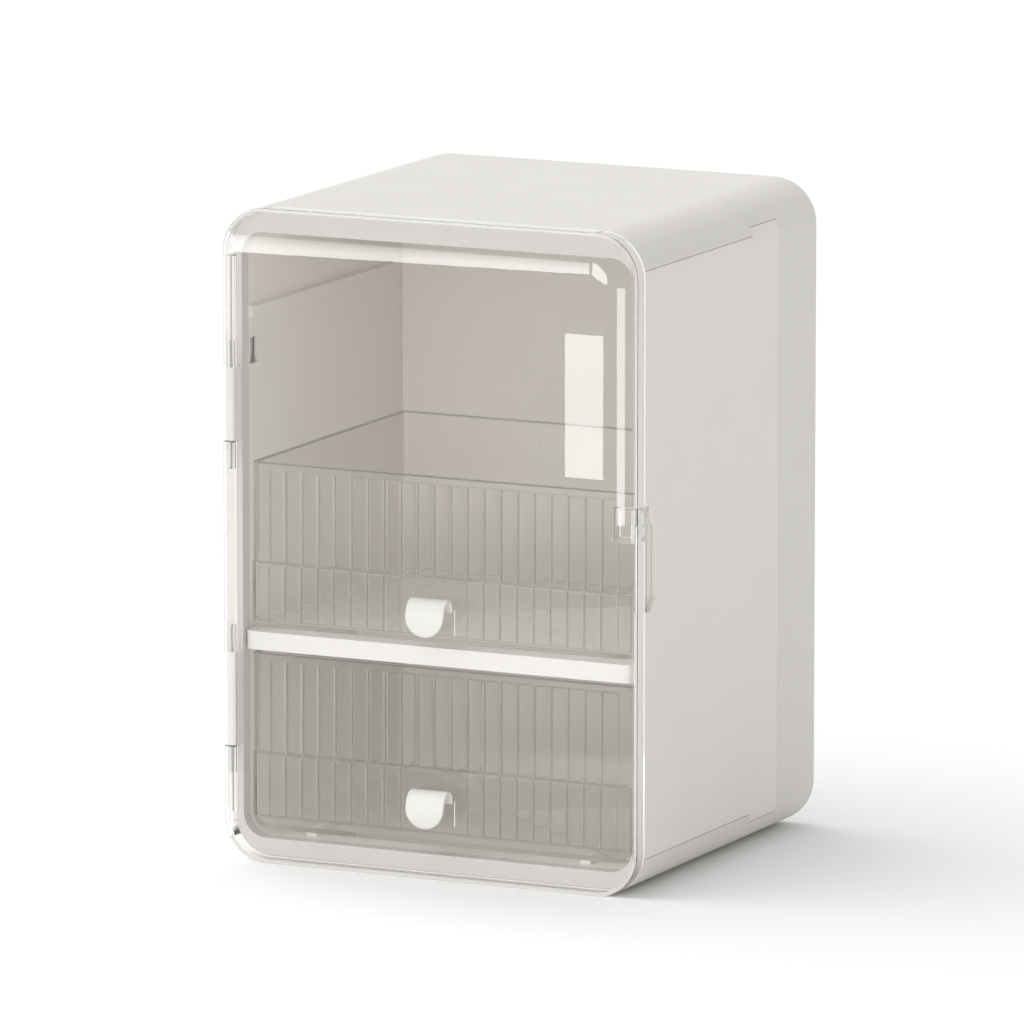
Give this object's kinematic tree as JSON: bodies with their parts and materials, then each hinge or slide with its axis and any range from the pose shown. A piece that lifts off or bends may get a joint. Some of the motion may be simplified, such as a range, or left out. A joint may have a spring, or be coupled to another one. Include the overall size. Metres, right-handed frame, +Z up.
{
  "type": "dustproof makeup organizer",
  "caption": "Upright cosmetics cabinet with rounded pale casing, left-hinged clear dust door, open upper bay, middle shelf and clear ribbed drawers with curled white handles.",
  "frame": {"origin": "under the middle of the whole object, on the surface it stands on", "axes": "+Z up, -Y out of the front (the door side), +X to the right as seen from the front"},
  "size_m": [0.248, 0.236, 0.3615],
  "materials": {
    "shell": "satin",
    "panel": "satin",
    "liner": "satin",
    "white": "gloss",
    "clear": "polished",
    "steel": "brushed",
    "rubber": "matte"
  },
  "bodies": {
    "casing": {"top_shell": "shell", "bottom_shell": "shell", "rear_shell": "shell", "side_panel_left": "panel", "side_panel_right": "panel", "front_ring": "white", "inner_wall_left": "liner", "inner_wall_right": "liner", "inner_ceiling": "liner", "inner_floor": "liner", "inner_back": "liner", "middle_shelf": "white", "finger_recess": "white", "hinge_bracket_upper": "white", "hinge_bracket_lower": "white", "hinge_pin_upper": "steel", "hinge_pin_lower": "steel", "rubber_feet": "rubber", "case_screws": "steel"},
    "door": {"door_panel": "clear", "door_catch": "clear"},
    "upper_drawer": {"upper_drawer_box": "clear", "upper_drawer_front": "clear", "upper_handle_mount": "clear", "upper_handle": "white"},
    "lower_drawer": {"lower_drawer_box": "clear", "lower_drawer_front": "clear", "lower_handle_mount": "clear", "lower_handle": "white"}
  },
  "joints": [
    {"name": "door_hinge", "type": "hinge", "parent": "casing", "child": "door", "pos_m": [-0.1206, -0.1132, 0.18], "axis": [0, 0, -1], "range_deg": [0, 180]},
    {"name": "upper_drawer_slide", "type": "slide", "parent": "casing", "child": "upper_drawer", "axis": [0, -1, 0], "range_m": [0, 0.0707]},
    {"name": "lower_drawer_slide", "type": "slide", "parent": "casing", "child": "lower_drawer", "axis": [0, -1, 0], "range_m": [0, 0.0707]}
  ],
  "couplings": [
    {"joint": "upper_drawer_slide", "follows": "door_hinge", "m_per_rad": 0.0225},
    {"joint": "lower_drawer_slide", "follows": "door_hinge", "m_per_rad": 0.0225}
  ]
}
